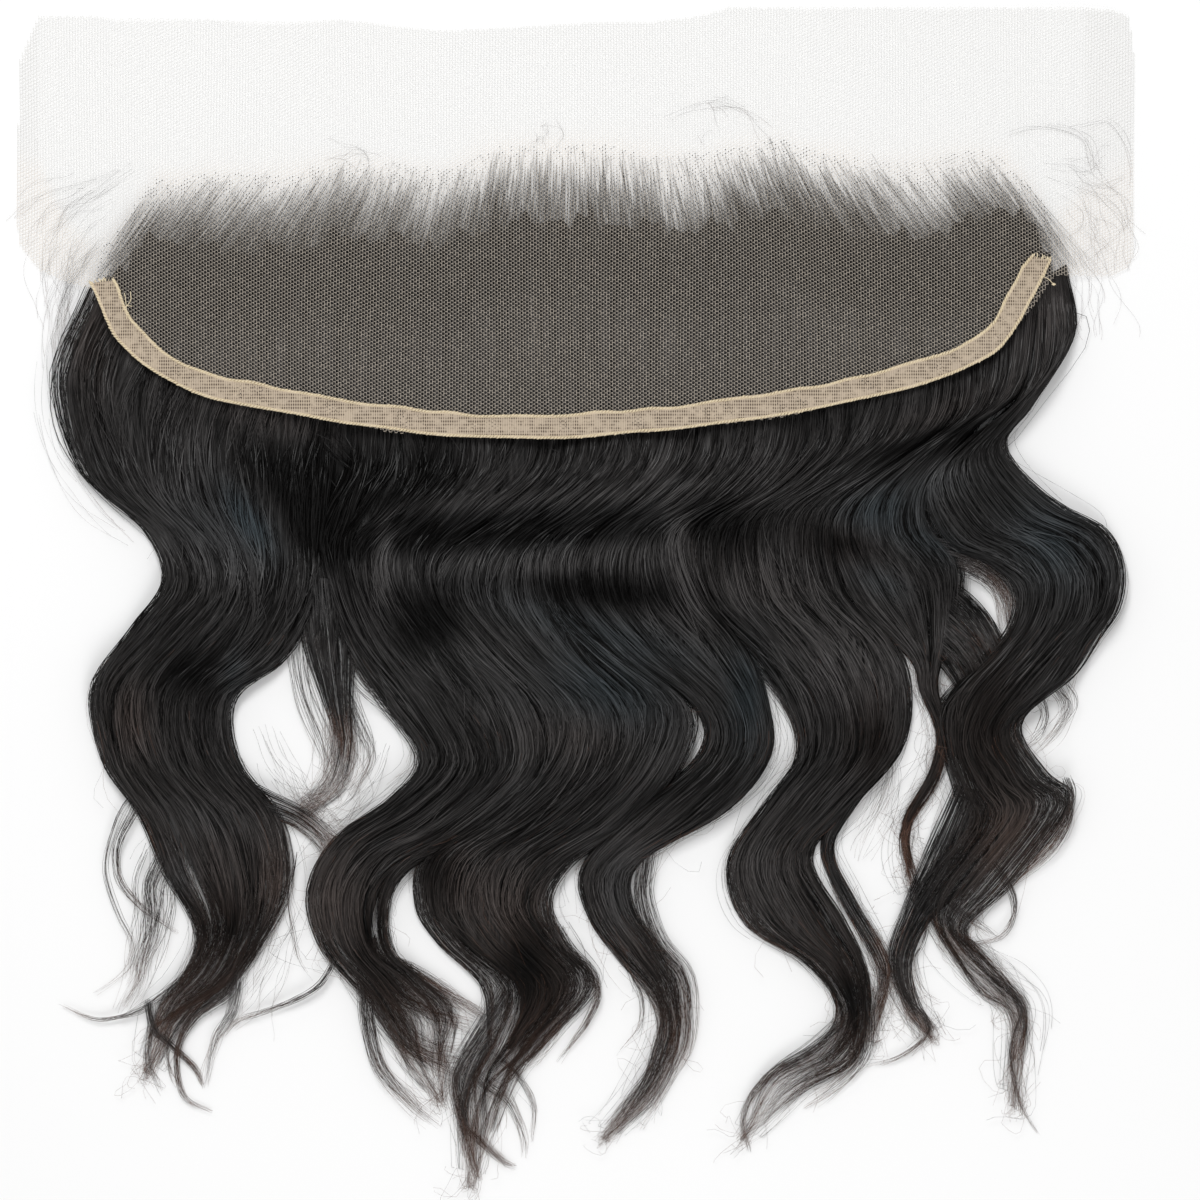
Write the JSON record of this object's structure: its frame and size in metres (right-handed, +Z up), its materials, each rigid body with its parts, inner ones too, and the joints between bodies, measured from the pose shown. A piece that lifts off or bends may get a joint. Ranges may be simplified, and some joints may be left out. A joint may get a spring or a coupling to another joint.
{
  "type": "lace frontal hairpiece",
  "caption": "Lace frontal hairpiece laid flat: waved dark hair knotted into a sheet of fine net, with a woven ribbon sewn along its curved back edge.",
  "frame": {"origin": "middle of the base, on the surface that the hairpiece lies on", "axes": "+X along the hairline, +Y from the tips of the hair towards the front edge of the lace, +Z up, away from the surface"},
  "size_m": [0.3866, 0.402, 0.0135],
  "materials": {
    "net": "fine cream lace net, matt",
    "ribbon": "woven beige ribbon with paler edges, matt",
    "hair": "near-black brown hair with a soft sheen"
  },
  "bodies": {
    "root": {"lace": "net", "edge_tape": "ribbon", "hair": "hair"}
  },
  "joints": []
}
